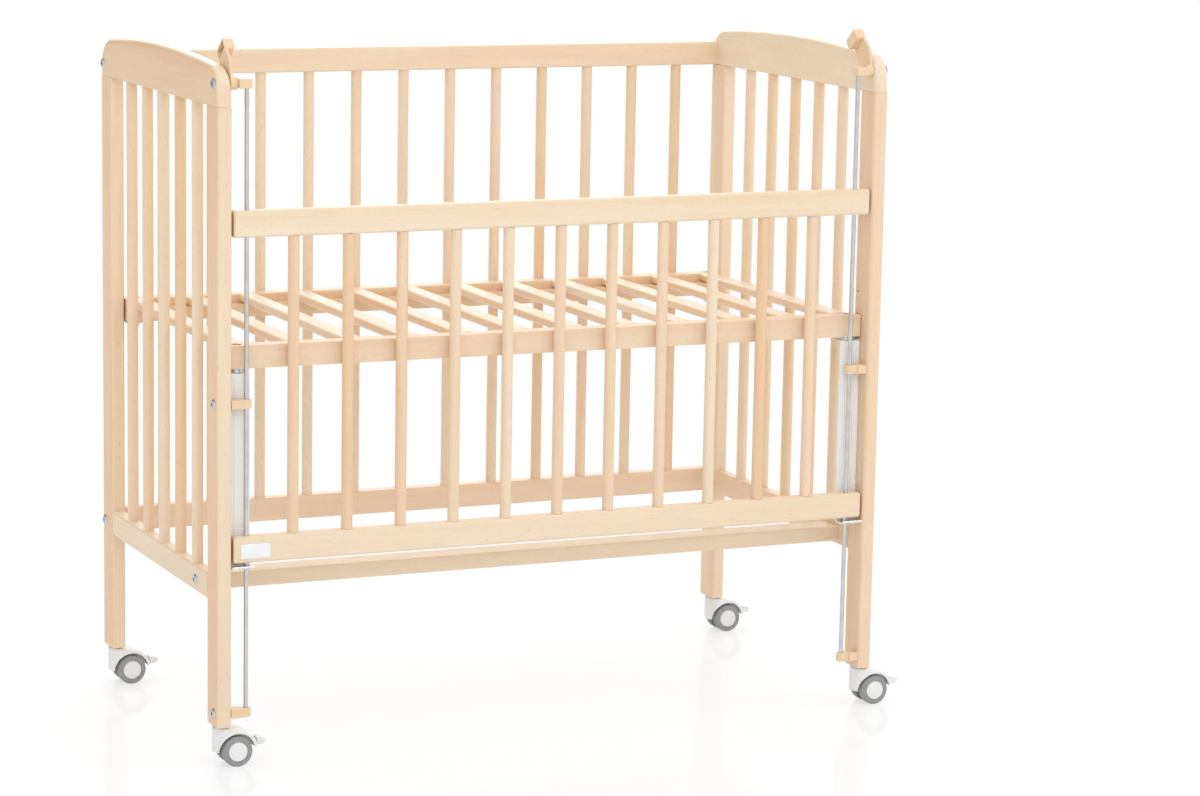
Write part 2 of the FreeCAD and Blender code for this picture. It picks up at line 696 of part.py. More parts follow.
def make_bracket(side_name, side, name):
    """A rod bracket: a foot on the post and a round-ended arm over the rod."""
    label = "%s_bracket_%s" % ({"low": "bottom", "mid": "middle", "top": "top"}[name], side_name)
    body = new_body(label, "%d * rod_x" % side, "gate_y", name + "_bracket_z")
    if name == "top":
        block(body, label + "_block", "Z", ("%d * (top_block_x - rod_x)" % side, 0, 0),
              "top_bracket_long", "bracket_wide", "bracket_tall")
        bevel_rim(body, label)
        disc(body, label + "_pivot", "X",
             ("%d * (rod_inset - (pivot_long + pivot_root) / 2)" % side, "pivot_setback", 0),
             "pivot_diameter / 2", "pivot_long + pivot_root")
    else:
        block(body, label + "_foot", "Z", ("%d * (rod_inset - bracket_foot / 2)" % side, 0, 0),
              "bracket_foot", "bracket_wide", "bracket_tall")
        block(body, label + "_arm", "Z", ("%d * rod_inset / 2" % side, 0, 0),
              "rod_inset", "bracket_arm", "bracket_tall")
        disc(body, label + "_end", "Z", (0, 0, 0), "bracket_arm / 2", "bracket_tall")
        bevel_rim(body, label)
    rise = {"low": "bracket_floor / 2", "mid": "0", "top": "-bracket_floor / 2"}[name]
    long = "bracket_tall" if name == "mid" else "bracket_tall - bracket_floor"
    drill(body, label + "_rod_hole", "Z", (0, 0, rise), "rod_diameter / 2 + hole_slack", long)
    drill(body, label + "_screw_hole", "X",
          ("%d * (rod_inset - screw_bite / 2)" % side, "pivot_setback", 0),
          "screw_shank / 2 + hole_slack", "screw_bite")


def draw_blade(sketch):
    """The blade's outline: it widens from the finger block to a waist and narrows into the hub."""
    tip = size("lever_long")
    root = size("lever_root")
    half_finger = size("finger_wide") / 2
    half_waist = size("lever_wide") / 2
    half = [
        (size("lever_hub") - root, -root), (half_waist, size("lever_waist")),
        (half_finger, tip - size("finger_tall")), (half_finger, tip),
    ]
    points = half + [(-across, up) for across, up in reversed(half)]
    draw_path(sketch, ring([[start, end] for start, end in zip(points, points[1:] + points[:1])]))


def make_lever(side_name, side):
    """A latch lever: a hub on the bracket's boss, a thin blade, and a hollow finger block at its tip."""
    label = "lever_" + side_name
    body = new_body(label, "%d * lever_x" % side, "pivot_y", "top_bracket_z")
    back = FreeCAD.Rotation(FreeCAD.Vector(-1, 0, 0), 1)
    body.Placement = FreeCAD.Placement(body.Placement.Base, back)
    bind(body, {"Placement.Rotation.Angle": "lever_lean"})
    outline = new_sketch(body, label + "_outline", "X",
                         ("%d * (lever_thick - lever_blade) / 2" % side, 0, 0))
    draw_blade(outline)
    extrude(body, "Pad", outline, "lever_blade", label + "_blade")
    middle = "%d * (lever_thick - lever_blade - finger_reach) / 2" % side
    finger_z = "lever_long - finger_tall / 2"
    block(body, label + "_finger", "X", (middle, 0, finger_z),
          "finger_wide", "finger_tall", "lever_blade + finger_reach")
    waist = size("lever_waist")
    end = side * (size("lever_thick") / 2 - size("lever_blade") - size("finger_reach"))

    def across(edge):
        inner = abs(getattr(edge.BoundBox, "XMin" if side > 0 else "XMax") - end) < 0.01
        return runs_along("X")(edge) and inner

    ease(body, label + "_corners", "finger_corner", across)
    ease(body, label + "_finger_edge", "finger_edge", lies_at("X", end))
    ease(body, label + "_waists", "lever_waist_round",
         lambda edge: runs_along("X")(edge) and abs(edge.BoundBox.ZMin - waist) < 0.01)
    disc(body, label + "_hub", "X", (0, 0, 0), "lever_hub", "lever_thick")
    drill(body, label + "_pivot_hole", "X", (0, 0, 0), "pivot_diameter / 2 + run_slack", "lever_thick")
    block(body, label + "_finger_hollow", "X",
          ("%d * (lever_thick - lever_blade - finger_reach + finger_wall) / 2" % side, 0, finger_z),
          "finger_wide - 2 * finger_wall", "finger_tall - 2 * finger_wall",
          "lever_blade + finger_reach - finger_wall", "Pocket")


def make_screw(name, side, seat, y, z, shank, bite):
    """A pan-head screw along X, from its seat on an outer face, with a hexagonal socket."""
    outer = "%d * (%s)" % (side, seat)
    head = put(doc.addObject("Part::Cone", name + "_head"), outer, y, z)
    bind(head, {"Radius1": "screw_head / 2", "Radius2": "screw_crown / 2", "Height": "screw_head_tall"})
    stem = cylinder(name + "_shank", shank + " / 2", "%s - inner_x + %s" % (seat, bite), outer, y, z)
    socket = hexagon(name + "_socket", "socket_wide", "socket_deep",
                     "%d * (%s + screw_head_tall - socket_deep)" % (side, seat), y, z)
    turned(head, "Y", 90 * side)
    turned(stem, "Y", -90 * side)
    turned(socket, "Y", 90 * side)
    return cut(name, fused(name + "_blank", head, stem), socket)


def make_screws():
    bracket_screws = []
    bolts = []
    for side_name, side in LEFT_RIGHT:
        for name in ("low", "mid", "top"):
            bracket_screws.append(make_screw("%s_screw_%s" % (name, side_name), side, "half_length",
                                             "pivot_y", name + "_bracket_z", "screw_shank", "screw_bite"))
        for name, seat, y, z in (("back_top", "half_length", "back_rail_y", "top_rail_z"),
                                 ("back_bottom", "half_length", "back_rail_y", "low_rail_z"),
                                 ("stretcher", "post_x + end_rail_thick / 2", "stretcher_y", "stretcher_z")):
            bolts.append(make_screw("%s_bolt_%s" % (name, side_name), side, seat, y, z,
                                    "bolt_shank", "bolt_bite"))
    group("bracket_screws", bracket_screws)
    group("frame_bolts", bolts)


def make_strap(side_name, side):
    """A webbing strap: a flap under the base's stud, a drop behind the gate and a sling under it."""
    thick = size("strap_thick")
    wide = size("strap_wide")
    back = size("strap_y") + thick / 2
    flap_z = size("base_floor") - size("stud_thick") - thick / 2
    low = size("gate_base") - size("strap_drop") + thick / 2
    turn = size("strap_turn")
    front = size("gate_y") - size("gate_thick") / 2 - size("strap_gap") / 2
    points = [
        FreeCAD.Vector(0, back + size("strap_flap"), flap_z),
        FreeCAD.Vector(0, back, flap_z),
        FreeCAD.Vector(0, back, low + turn),
        FreeCAD.Vector(0, back - turn, low),
        FreeCAD.Vector(0, front + turn, low),
        FreeCAD.Vector(0, front, low + size("strap_lip")),
    ]
    part_way = turn * math.sqrt(0.5)
    bend = FreeCAD.Vector(0, back - turn + part_way, low + turn - part_way)
    path = Part.Wire([
        Part.makeLine(points[0], points[1]),
        Part.makeLine(points[1], points[2]),
        Part.Arc(points[2], bend, points[3]).toShape(),
        Part.makeLine(points[3], points[4]),
        Part.makeLine(points[4], points[5]),
    ])
    across = FreeCAD.Vector(wide, 0, 0)
    halves = [path.makeOffset2D(offset, 0, True, True).extrude(across) for offset in (thick / 2, -thick / 2)]
    solid = halves[0].fuse(halves[1]).removeSplitter()
    solid.translate(across / -2)
    middle = FreeCAD.Vector(size("strap_x"), 0, 0)
    bolt_hole = size("base_bolt") / 2 + size("part_gap")
    for radius, x, y, z in ((size("strap_hole") / 2, size("rod_x"), size("gate_y"), low),
                            (bolt_hole, size("stud_x"), -size("stud_y"), flap_z)):
        start = FreeCAD.Vector(side * (x - middle.x), y, z - 2 * thick)
        solid = solid.cut(Part.makeCylinder(radius, 4 * thick, start))
    item = node(doc.addObject("Part::Feature", "strap_" + side_name))
    item.Shape = solid
    item.Placement = FreeCAD.Placement(middle * side, FreeCAD.Rotation())


def make_drop_side():
    make_gate()
    for side_name, side in LEFT_RIGHT:
        label = "rod_" + side_name
        node(cylinder(label, "rod_diameter / 2", "rod_long", "%d * rod_x" % side, "gate_y", "rod_base"))
        for name in ("low", "mid", "top"):
            make_bracket(side_name, side, name)
        make_lever(side_name, side)
        make_strap(side_name, side)
    make_screws()


# Casters

def polar(radius, degrees):
    """A point of a circle about the axle, in the caster's side view."""
    angle = math.radians(degrees)
    return (size("caster_trail") + radius * math.cos(angle), size("axle_z") + radius * math.sin(angle))


def flat(point):
    return FreeCAD.Vector(point[0], point[1], 0)


def ring(points):
    """Edges through the points of a ring; a middle point in a pair's list makes an arc."""
    edges = []
    for item in points:
        ends = [flat(point) for point in item]
        edges.append(Part.LineSegment(*ends) if len(ends) == 2 else Part.Arc(*ends))
    return edges


def draw_hood(sketch):
    """The hood's side view: a nose round the stem that runs into a fender over the wheels."""
    outer = size("hood_outer")
    inner = size("hood_inner")
    end = size("hood_end_angle")
    top = size("hood_top")
    nose = -size("hood_nose")
    skirt = size("hood_skirt")
    crest = (size("stem_collar") / 2, top)
    away_x = crest[0] - size("caster_trail")
    away_z = top - size("axle_z")
    touch = math.degrees(math.atan2(away_z, away_x) - math.acos(outer / math.hypot(away_x, away_z)))
    left = 180 - math.degrees(math.asin((skirt - size("axle_z")) / inner))
    draw_path(sketch, ring([
        [(nose, skirt), (nose, top)],
        [(nose, top), crest],
        [crest, polar(outer, touch)],
        [polar(outer, touch), polar(outer, (touch + end) / 2), polar(outer, end)],
        [polar(outer, end), polar(inner, end)],
        [polar(inner, end), polar(inner, (end + left) / 2), polar(inner, left)],
        [polar(inner, left), (nose, skirt)],
    ]))


def draw_web(sketch):
    """The web between the wheels: a sector from the axle up into the hood."""
    radius = size("hood_inner") + size("hood_wall") / 2
    end = size("hood_end_angle")
    axle = polar(0, 0)
    draw_path(sketch, ring([
        [axle, polar(radius, end)],
        [polar(radius, end), polar(radius, 90), polar(radius, 180 - end)],
        [polar(radius, 180 - end), axle],
    ]))


def draw_trim(sketch):
    """What is cut away round the hood in plan: its nose is a half round, its end has round corners."""
    half = size("hood_wide") / 2
    nose = -size("hood_nose")
    end = size("caster_trail") + size("hood_outer")
    corner = size("hood_corner")
    out = 2 * half
    bend = corner * (1 - math.sqrt(0.5))
    frame = [(nose - out, -out), (end + out, -out), (end + out, out), (nose - out, out)]
    edges = [[start, stop] for start, stop in zip(frame, frame[1:] + frame[:1])]
    edges += [
        [(nose + half, half), (nose, 0), (nose + half, -half)],
        [(nose + half, -half), (end - corner, -half)],
        [(end - corner, -half), (end - bend, -half + bend), (end, -half + corner)],
        [(end, -half + corner), (end, half - corner)],
        [(end, half - corner), (end - bend, half - bend), (end - corner, half)],
        [(end - corner, half), (nose + half, half)],
    ]
    draw_path(sketch, ring(edges))


def rounds_hood(edge):
    """A test for the edges between the hood's top and its nose and sides."""
    middle = edge.valueAt((edge.FirstParameter + edge.LastParameter) / 2)
    on_side = abs(abs(middle.y) - size("hood_wide") / 2) < 0.01
    on_top = abs(middle.z - size("hood_top")) < 0.01
    if on_top:
        return on_side or middle.x < 0
    from_axle = math.hypot(middle.x - size("caster_trail"), middle.z - size("axle_z"))
    return on_side and from_axle > size("hood_outer") - 0.01 and middle.x > size("stem_collar") / 2


def make_housing(corner, x, y):
    """The moulded hood with its web, its stem socket, its axle boss and its pedal slot."""
    label = "caster_housing_" + corner
    body = new_body(label, x, y, 0)
    side_view = new_sketch(body, label + "_side", "Y")
    draw_hood(side_view)
    extrude(body, "Pad", side_view, "hood_wide", label + "_hood")
    plan = new_sketch(body, label + "_plan", "Z", (0, 0, "hood_top / 2"))
    draw_trim(plan)
    extrude(body, "Pocket", plan, "2 * hood_top", label + "_trim")
    ease(body, label + "_edges", "hood_round", rounds_hood)
    web_view = new_sketch(body, label + "_web_view", "Y")
    draw_web(web_view)
    extrude(body, "Pad", web_view, "web_thick", label + "_web")
    disc(body, label + "_boss", "Y", ("caster_trail", 0, "axle_z"), "axle_boss", "web_thick")
    drill(body, label + "_axle_hole", "Y", ("caster_trail", 0, "axle_z"),
          "axle_diameter / 2 + run_slack", "web_thick")
    drill(body, label + "_stem_socket", "Z", (0, 0, "hood_top - (stem_seat + part_gap) / 2"),
          "stem_diameter / 2 + run_slack", "stem_seat + part_gap")
    block(body, label + "_pedal_slot", "Y",
          ("caster_trail + pivot_right + slot_long / 2 - slot_back", 0,
           "axle_z + pivot_up - slot_low / 2 + slot_back"),
          "slot_long", "slot_low", "pedal_arm + 2 * part_gap", "Pocket")
    drill(body, label + "_pin_hole", "Y", ("caster_trail + pivot_right", 0, "axle_z + pivot_up"),
          "pedal_pin / 2 + run_slack", "web_thick")


def make_pedal(corner, x, y):
    """The brake pedal: a hub on a pin in the web, an arm through the slot and a wide end."""
    label = "caster_pedal_" + corner
    body = new_body(label, x + " + caster_trail + pivot_right", y, "axle_z + pivot_up")
    disc(body, label + "_hub", "Y", (0, 0, 0), "pedal_hub / 2", "pedal_arm")
    block(body, label + "_arm", "Y", ("(pedal_step + pedal_root) / 2", 0, "-pedal_dip"),
          "pedal_step + pedal_root", "pedal_neck", "pedal_arm")
    block(body, label + "_end", "Y", ("(pedal_step + pedal_reach) / 2", 0, "-pedal_dip"),
          "pedal_reach - pedal_step", "pedal_thick", "pedal_wide")
    ease(body, label + "_tip", "pedal_bevel",
         lambda edge: runs_along("Y")(edge) and lies_at("X", size("pedal_reach"))(edge), "Chamfer")
    disc(body, label + "_pin", "Y", (0, 0, 0), "pedal_pin / 2", "web_thick")


def make_wheel(label, x, y, outward):
    """A wheel: a chamfered tyre round a hub disc that stands a little proud behind a thin groove."""
    body = new_body(label, x + " + caster_trail", "%s + %d * wheel_space / 2" % (y, outward), "axle_z")
    sketch = new_sketch(body, label + "_section", "X")
    radius = size("wheel_diameter") / 2
    wide = size("wheel_wide")
    chamfer = size("wheel_chamfer")
    hub = size("hub_diameter") / 2
    groove = size("hub_groove")
    proud = wide + size("hub_proud")
    bore = size("axle_diameter") / 2 + size("run_slack")
    deep = size("axle_reach") + size("part_gap")
    points = [
        (0, bore), (0, radius - chamfer), (chamfer, radius), (wide - chamfer, radius),
        (wide, radius - chamfer), (wide, hub + groove), (wide - groove, hub + groove), (wide - groove, hub),
        (proud, hub - groove), (proud, 0), (deep, 0), (deep, bore),
    ]
    points = [(outward * across, up) for across, up in points]
    draw_path(sketch, ring([[start, end] for start, end in zip(points, points[1:] + points[:1])]))
    turn = body.newObject("PartDesign::Revolution", label + "_turn")
    turn.Profile = sketch
    turn.ReferenceAxis = (origin_feature(body, "Y_Axis"), [""])
    turn.Angle = 360
    body.Tip = turn


def make_casters():
    stems = []
    for side_name, side in LEFT_RIGHT:
        for face_name, face in FRONT_BACK:
            corner = "%s_%s" % (face_name, side_name)
            x = "%d * post_x" % side
            y = "%d * post_y" % face
            stem = cylinder("stem_%s_shaft" % corner, "stem_diameter / 2",
                            "caster_height + stem_bite - hood_top + stem_seat", x, y, "hood_top - stem_seat")
            collar = cylinder("stem_%s_collar" % corner, "stem_collar / 2", "collar_thick", x, y,
                              "caster_height - collar_thick")
            stems.append(fused("stem_" + corner, stem, collar))
            make_housing(corner, x, y)
            axle = cylinder("caster_axle_" + corner, "axle_diameter / 2", "wheel_space + 2 * axle_reach",
                            x + " + caster_trail", y + " + wheel_space / 2 + axle_reach", "axle_z")
            node(turned(axle, "X", 90))
            make_pedal(corner, x, y)
            make_wheel("wheel_outer_" + corner, x, y, face)
            make_wheel("wheel_inner_" + corner, x, y, -face)
    group("caster_stems", stems)


make_frame()
make_base()
make_drop_side()
make_casters()
doc.recompute()

for item in doc.Objects:
    if "Invalid" in item.State or "Error" in item.State:
        raise RuntimeError("%s did not build: %s" % (item.Label, item.State))
os.makedirs("parts", exist_ok=True)
for item in NODES:
    if item.Shape.isNull() or not item.Shape.isValid() or not item.Shape.Solids:
        raise RuntimeError("%s has no valid solid" % item.Label)
for item in NODES:
    item.Shape.exportStep(os.path.join("parts", item.Label + ".step"))
print(len(NODES), "sub-parts written")
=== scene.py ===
import math
import bpy
from mathutils import Matrix, Vector


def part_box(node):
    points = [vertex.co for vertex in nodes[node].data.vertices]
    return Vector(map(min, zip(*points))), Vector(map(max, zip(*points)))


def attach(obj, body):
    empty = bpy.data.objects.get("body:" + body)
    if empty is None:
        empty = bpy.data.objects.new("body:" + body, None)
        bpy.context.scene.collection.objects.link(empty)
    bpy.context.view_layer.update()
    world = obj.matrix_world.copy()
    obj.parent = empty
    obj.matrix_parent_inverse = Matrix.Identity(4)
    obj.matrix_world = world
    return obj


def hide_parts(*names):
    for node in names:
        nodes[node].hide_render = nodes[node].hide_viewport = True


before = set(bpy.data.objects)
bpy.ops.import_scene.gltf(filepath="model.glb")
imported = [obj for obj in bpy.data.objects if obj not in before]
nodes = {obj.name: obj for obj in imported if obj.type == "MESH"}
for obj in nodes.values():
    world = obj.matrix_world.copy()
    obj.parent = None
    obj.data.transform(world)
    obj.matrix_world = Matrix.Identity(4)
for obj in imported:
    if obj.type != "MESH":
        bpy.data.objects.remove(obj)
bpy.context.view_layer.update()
smoothAngle = math.radians(38)
print("frame loaded:", len(nodes), "nodes")

# the photograph's camera, solved on the crib's straight edges
camera = {
    "place": (-1.9335, -4.6208, 1.2881),
    "yaw": 23.92,
    "pitch": -9.76,
    "roll": 0.97,
    "focalPixels": 3646.3,
    "imageWide": 1200,
    "imageTall": 796,
    "centre": (563.9, 395.8),
    "sensorWide": 36,
    "reach": 60,
}

studio = {
    "floorHalf": 12.0,
    "floorColour": (0.90, 0.90, 0.91, 1),
    "floorRoughness": 0.10,
    "floorSpecular": 0.35,
    "floorGlow": 0.62,           # share of plain white that a camera sees near the crib
    "glowFrom": 0.75,            # and from here outwards it rises
    "glowTo": 1.5,               # to nothing but white
    "worldLight": 1.06,
    "darkSide": (-0.862, 0.507, 0.0),    # mirror rays find this side of the room dark
    "darkFrom": 0.30,
    "darkTo": 0.65,
    "darkColour": (0.07, 0.07, 0.08, 1),
    "lampTarget": (0, 0, 0.45),
    "keyPlace": (-1.3, -3.9, 2.8),
    "keySize": 2.6,
    "keyPower": 24,
    "fillPlace": (3.4, -2.0, 2.4),
    "fillSize": 2.6,
    "fillPower": 16,
    "backPlace": (1.2, 3.4, 3.0),
    "backSize": 3.0,
    "backPower": 55,
}


def aimAt(spot, target):
    spot.rotation_euler = (Vector(target) - spot.location).to_track_quat("-Z", "Y").to_euler()


def setCamera():
    yaw = math.radians(camera["yaw"])
    pitch = math.radians(camera["pitch"])
    roll = math.radians(camera["roll"])
    forward = Vector((math.sin(yaw) * math.cos(pitch), math.cos(yaw) * math.cos(pitch), math.sin(pitch)))
    level = Vector((math.cos(yaw), -math.sin(yaw), 0))
    upright = level.cross(forward)
    right = level * math.cos(roll) + upright * math.sin(roll)
    up = upright * math.cos(roll) - level * math.sin(roll)
    turn = Matrix((right, up, -forward)).transposed()
    lens = bpy.data.cameras.new("camera")
    wide = camera["imageWide"]
    lens.sensor_width = camera["sensorWide"]
    lens.lens = camera["focalPixels"] * lens.sensor_width / wide
    lens.shift_x = (wide / 2 - camera["centre"][0]) / wide
    lens.shift_y = (camera["centre"][1] - camera["imageTall"] / 2) / wide
    lens.clip_end = camera["reach"]
    holder = bpy.data.objects.new("camera", lens)
    holder.matrix_world = Matrix.Translation(camera["place"]) @ turn.to_4x4()
    bpy.context.scene.collection.objects.link(holder)
    bpy.context.scene.camera = holder


def areaLamp(name, place, size, power):
    light = bpy.data.lights.new(name, "AREA")
    light.shape = "DISK"
    light.size = size
    light.energy = power
    holder = bpy.data.objects.new(name, light)
    holder.location = place
    bpy.context.scene.collection.objects.link(holder)
    aimAt(holder, studio["lampTarget"])


# a node's output that can stand in a sum
class Flow:
    def __init__(self, bench, socket):
        self.bench = bench
        self.socket = socket

    def reckon(self, operation, first, second):
        return self.bench.node("ShaderNodeMath", {"operation": operation}, {0: first, 1: second})

    def __add__(self, other):
        return self.reckon("ADD", self, other)

    def __sub__(self, other):
        return self.reckon("SUBTRACT", self, other)

    def __mul__(self, other):
        return self.reckon("MULTIPLY", self, other)

    def __pow__(self, other):
        return self.reckon("POWER", self, other)

    def __abs__(self):
        return self.reckon("ABSOLUTE", self, 0.0)


# where nodes are wired up, for a finish or for the world
class Bench:
    def __init__(self, tree):
        self.tree = tree

    def node(self, kind, settings, values, output=0):
        made = self.tree.nodes.new(kind)
        for name, value in settings.items():
            if name == "stops":
                self.setStops(made.color_ramp, value)
            else:
                setattr(made, name, value)
        for name, value in values.items():
            self.feed(made.inputs[name], value)
        return Flow(self, made.outputs[output])

    def setStops(self, ramp, stops):
        while len(ramp.elements) < len(stops):
            ramp.elements.new(0.5)
        for element, (place, colour) in zip(ramp.elements, stops):
            element.position = place
            element.color = colour

    def feed(self, socket, value):
        if isinstance(value, Flow):
            self.tree.links.new(value.socket, socket)
        else:
            socket.default_value = value

    def split(self, vector):
        parts = self.tree.nodes.new("ShaderNodeSeparateXYZ")
        self.feed(parts.inputs[0], vector)
        return [Flow(self, parts.outputs[number]) for number in range(3)]

    def between(self, value, low, high, kind="SMOOTHSTEP"):
        values = {"Value": value, "From Min": low, "From Max": high}
        return self.node("ShaderNodeMapRange", {"interpolation_type": kind}, values)

    def largest(self, *values):
        result = values[0]
        for value in values[1:]:
            result = result.reckon("MAXIMUM", result, value)
        return result

    def wave(self, value, pitch):
        # a ripple from 0 to 1 along a length, one crest to a pitch
        turns = value * (2 * math.pi / pitch)
        return self.node("ShaderNodeMath", {"operation": "SINE"}, {0: turns}) * 0.5 + 0.5

    def seenDirectly(self):
        # 1 for rays from the camera, and for mirror and glass rays
        rays = [self.node("ShaderNodeLightPath", {}, {}, name)
                for name in ("Is Camera Ray", "Is Glossy Ray", "Is Transmission Ray")]
        return self.largest(*rays)


class Finish(Bench):
    def __init__(self, name, roughness):
        self.material = bpy.data.materials.new(name)
        self.material.use_nodes = True
        super().__init__(self.material.node_tree)
        self.shader = self.tree.nodes["Principled BSDF"]
        self.shader.inputs["Roughness"].default_value = roughness

    def give(self, name, value):
        self.feed(self.shader.inputs[name], value)

    def place(self):
        return self.node("ShaderNodeTexCoord", {}, {}, "Object")

    def facing(self):
        return self.split(self.node("ShaderNodeNewGeometry", {}, {}, "Normal"))

    def stretch(self, vector, scale):
        return self.node("ShaderNodeMapping", {}, {"Vector": vector, "Scale": scale})

    def noise(self, vector, scale, detail, roughness=0.5):
        values = {"Vector": vector, "Scale": scale, "Detail": detail, "Roughness": roughness}
        return self.node("ShaderNodeTexNoise", {}, values, "Fac")

    def ramp(self, value, stops):
        return self.node("ShaderNodeValToRGB", {"stops": stops}, {"Fac": value})

    def mixed(self, share, first, second):
        return self.node("ShaderNodeMix", {"data_type": "RGBA"}, {0: share, 6: first, 7: second}, 2)

    def bump(self, height, distance, strength):
        values = {"Height": height, "Distance": distance, "Strength": strength}
        self.give("Normal", self.node("ShaderNodeBump", {}, values))

    def clouded(self, place, look, colour):
        # soft darker clouds over a plain colour
        cloud = self.noise(place, look["cloudScale"], 2)
        darker = tuple(part * look["clouded"] for part in colour[:3]) + (1,)
        share = self.between(cloud, *look["cloudRange"]) * look["cloudShare"]
        self.give("Base Color", self.mixed(share, colour, darker))


beech = {
    "pale": (0.840, 0.708, 0.545, 1),
    "deep": (0.790, 0.630, 0.448, 1),
    "warmPale": (0.815, 0.585, 0.380, 1),
    "warmDeep": (0.765, 0.495, 0.285, 1),
    "fleck": (0.50, 0.30, 0.16, 1),
    "endGrain": (0.62, 0.39, 0.22, 1),
    "roughness": 0.44,
    "coat": 0.15,
    "coatRoughness": 0.25,
    "specular": 0.35,
    "bandScale": 95,
    "poreScale": 900,
    "poreShare": 0.08,
    "rayScale": 620,
    "rayShare": 0.24,
    "toneScale": 9,
    "pieceScale": 18,            # how fast the tone changes from piece to piece
    "relief": 0.00012,
    "bandStretch": 0.06,         # lengths along the grain are scaled by these
    "rayStretch": 0.16,
    "toneStretch": 0.3,
    "bandShare": 0.6,
    "toneShare": 0.5,
    "shareShift": 0.05,
    "paleAt": 0.34,
    "deepAt": 0.72,
    "rayRange": (0.66, 0.74),
    "poreRange": (0.3, 0.7),
    "paintedShadeFacing": (0.6, 0.95),   # how square to the X axis a face stands to take the painted side shade, and to its grain axis to count as end grain
    "endFacing": (0.80, 0.97),   # and as end grain
    "poreRoughness": 0.12,
    "poreDepth": 0.6,
    "reliefShare": 0.5,
    # each piece's grain, its warmth, the painted side shade its X-facing faces add as warmth, its end grain
    # (on the gate's rails also painted shade of the gap at the posts), and how far its boards differ in
    # tone
    "pieces": {
        # the gate's rails take a large end-grain share: real end grain, and painted shade for the shadowed
        # gaps at the posts where their ends sit
        "gate_top_rail": ("X", 0.15, 0.0, 0.75, 1.4),
        "gate_bottom_rail": ("X", 0.15, 0.0, 0.75, 1.4),
        "stretcher": ("X", 0.0, 0.0, 0.3, 1.4),
        "back_top_rail": ("X", 0.25, 0.0, 0.3, 1.4),
        "back_bottom_rail": ("X", 0.25, 0.0, 0.3, 1.4),
        "base_rail_front": ("X", 0.6, 0.0, 0.3, 1.4),
        "base_rail_back": ("X", 0.6, 0.0, 0.3, 1.4),
        "base_slats": ("Y", -0.3, 1.0, 0.3, 3.2),
        "cap_rail_left": ("Y", 0.05, 0.7, 0.12, 1.4),
        "cap_rail_right": ("Y", -0.4, 0.0, 0.12, 1.4),
        "end_bottom_rail_left": ("Y", 0.2, 0.1, 0.3, 1.4),
        "end_bottom_rail_right": ("Y", 0.2, 0.1, 0.3, 1.4),
        "end_bars_left": ("Z", 0.3, 0.0, 0.3, 3.2),
        "end_bars_right": ("Z", 0.3, 0.0, 0.3, 3.2),
        "back_bars": ("Z", 0.2, 0.0, 0.3, 3.2),
        "gate_bars": ("Z", 0.45, 0.0, 0.3, 3.2),
        "post_front_left": ("Z", 0.0, 0.9, 0.3, 1.4),
        "post_front_right": ("Z", 0.5, 0.0, 0.3, 1.4),
        "post_back_left": ("Z", 0.15, 0.8, 0.3, 1.4),
        "post_back_right": ("Z", 0.15, 0.2, 0.3, 1.4),
    },
}


def makeBeech(name, axis, warmth, paintedSideShade, endGrainAndGapShade, spread):
    # lacquered beech: soft growth bands, a tone of its own for each piece, short brown ray flecks, darker
    # end grain, and painted shade on faces that point along X
    wood = Finish(name, beech["roughness"])
    number = "XYZ".index(axis)

    def stretched(share):
        scale = [1, 1, 1]
        scale[number] = share
        return wood.stretch(place, scale)

    place = wood.place()
    drawn = stretched(beech["bandStretch"])
    facing = wood.facing()
    piece = wood.noise(stretched(0), beech["pieceScale"], 1)
    tone = wood.noise(stretched(beech["toneStretch"]), beech["toneScale"], 2)
    bands = wood.noise(drawn, beech["bandScale"], 4, 0.6)
    pores = wood.noise(drawn, beech["poreScale"], 3, 0.7)
    rays = wood.noise(stretched(beech["rayStretch"]), beech["rayScale"], 1, 0.4)
    share = bands * beech["bandShare"] + tone * beech["toneShare"] - beech["shareShift"]
    paleAt, deepAt = beech["paleAt"], beech["deepAt"]
    paleWood = wood.ramp(share, [(paleAt, beech["pale"]), (deepAt, beech["deep"])])
    warmWood = wood.ramp(share, [(paleAt, beech["warmPale"]), (deepAt, beech["warmDeep"])])
    warmthAndSideShade = (piece - 0.5) * spread + warmth
    # painted shade: faces that point along X are mixed towards the warmer, darker wood, like sides turned
    # from the lamps
    if paintedSideShade:
        warmthAndSideShade = warmthAndSideShade + wood.between(abs(facing[0]), *beech["paintedShadeFacing"]) * paintedSideShade
    colour = wood.mixed(wood.between(warmthAndSideShade, 0, 1, "LINEAR"), paleWood, warmWood)
    rayed = wood.between(rays, *beech["rayRange"]) * beech["rayShare"]
    pored = wood.between(pores, *beech["poreRange"]) * beech["poreShare"]
    # end faces are painted darker as end grain; the large share on the gate's rails also paints the shade
    # in the gap at the posts
    ended = wood.between(abs(facing[number]), *beech["endFacing"]) * endGrainAndGapShade
    colour = wood.mixed(rayed, colour, beech["fleck"])
    colour = wood.mixed(pored, colour, beech["fleck"])
    colour = wood.mixed(ended, colour, beech["endGrain"])
    wood.give("Base Color", colour)
    vary = beech["poreRoughness"]
    wood.give("Roughness", pores * vary + (beech["roughness"] - vary / 2))
    wood.give("Specular IOR Level", beech["specular"])
    wood.give("Coat Weight", beech["coat"])
    wood.give("Coat Roughness", beech["coatRoughness"])
    wood.bump(pores * beech["poreDepth"] + bands, beech["relief"], beech["reliefShare"])
    return wood.material


